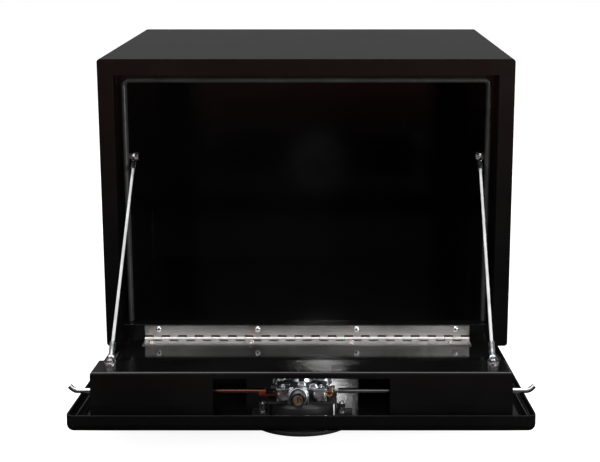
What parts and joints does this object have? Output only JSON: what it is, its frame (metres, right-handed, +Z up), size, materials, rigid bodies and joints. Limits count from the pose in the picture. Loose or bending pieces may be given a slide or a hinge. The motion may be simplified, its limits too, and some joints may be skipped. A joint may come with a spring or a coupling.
{
  "type": "underbody truck tool box",
  "caption": "Rectangular steel box with a drop-down front door on a continuous hinge, two stay cables, lock rods and a folding tee handle.",
  "frame": {"origin": "middle of the cabinet's underside, on the surface it rests on", "axes": "+X to the right as the open front is faced, -Y out of the front, +Z up"},
  "size_m": [0.61, 0.843, 0.44],
  "materials": {
    "black_powder_coat": "gloss black powder coat",
    "black_inner_coat": "gloss black powder coat",
    "seal_rubber": "matt",
    "hinge_steel": "brushed stainless",
    "hinge_pin_steel": "plain",
    "zinc_plate": "bright zinc plate",
    "cast_zinc": "cast zinc, tumbled",
    "dish_black": "satin black",
    "lock_black": "dark plated",
    "brass": "turned",
    "cable_coat": "clear coated wire rope",
    "guide_plastic": "black nylon"
  },
  "bodies": {
    "cabinet": {"cabinet_wrap": "black_powder_coat", "back_panel": "black_inner_coat", "front_frame": "black_powder_coat", "sill_rail": "black_powder_coat", "door_seal": "seal_rubber", "hinge_leaf_cabinet": "hinge_steel", "hinge_pin": "hinge_pin_steel", "hinge_rivets": "zinc_plate", "stay_bolts_upper": "zinc_plate", "stay_eyes_upper": "zinc_plate", "stay_cable_left": "cable_coat", "stay_cable_right": "cable_coat"},
    "door": {"door_skin": "black_powder_coat", "latch_channel": "black_powder_coat", "hinge_leaf_door": "hinge_steel", "hinge_bolts_door": "zinc_plate", "rod_guides": "guide_plastic", "latch_dish": "dish_black", "latch_bracket": "dish_black", "latch_studs": "zinc_plate", "latch_housing": "cast_zinc", "lock_barrel": "lock_black", "stay_studs_lower": "zinc_plate", "stay_eyes_lower": "zinc_plate"},
    "latch_rotor": {"latch_spindle": "zinc_plate", "latch_cam": "zinc_plate", "handle_pin": "hinge_pin_steel"},
    "handle": {"tee_handle": "cast_zinc"},
    "key_plug": {"lock_plug": "brass"},
    "rod_left": {"lock_rod_left": "zinc_plate"},
    "rod_right": {"lock_rod_right": "zinc_plate"}
  },
  "joints": [
    {"name": "door_hinge", "type": "hinge", "parent": "cabinet", "child": "door", "pos_m": [0, -0.2198, 0.0092], "axis": [-1, 0, 0], "range_deg": [0, 83.9], "deforming": ["stay_cable_left", "stay_cable_right"]},
    {"name": "handle_turn", "type": "hinge", "parent": "door", "child": "latch_rotor", "pos_m": [0, -0.55232, 0.05962], "axis": [0, 0.1063, 0.9943], "range_deg": [0, 60]},
    {"name": "handle_fold", "type": "hinge", "parent": "latch_rotor", "child": "handle", "pos_m": [0, -0.55328, 0.05067], "axis": [-1, 0, 0], "range_deg": [0, 90]},
    {"name": "key_turn", "type": "hinge", "parent": "door", "child": "key_plug", "pos_m": [-0.004, -0.59453, 0.07871], "axis": [0, -0.9943, 0.1063], "range_deg": [0, 90]},
    {"name": "rod_left_slide", "type": "slide", "parent": "door", "child": "rod_left", "axis": [1, 0, 0], "range_m": [0, 0.0175]},
    {"name": "rod_right_slide", "type": "slide", "parent": "door", "child": "rod_right", "axis": [-1, 0, 0], "range_m": [0, 0.0175]}
  ],
  "couplings": [
    {"joint": "rod_left_slide", "follows": "handle_turn", "m_per_rad": 0.01654},
    {"joint": "rod_right_slide", "follows": "handle_turn", "m_per_rad": 0.01654}
  ]
}
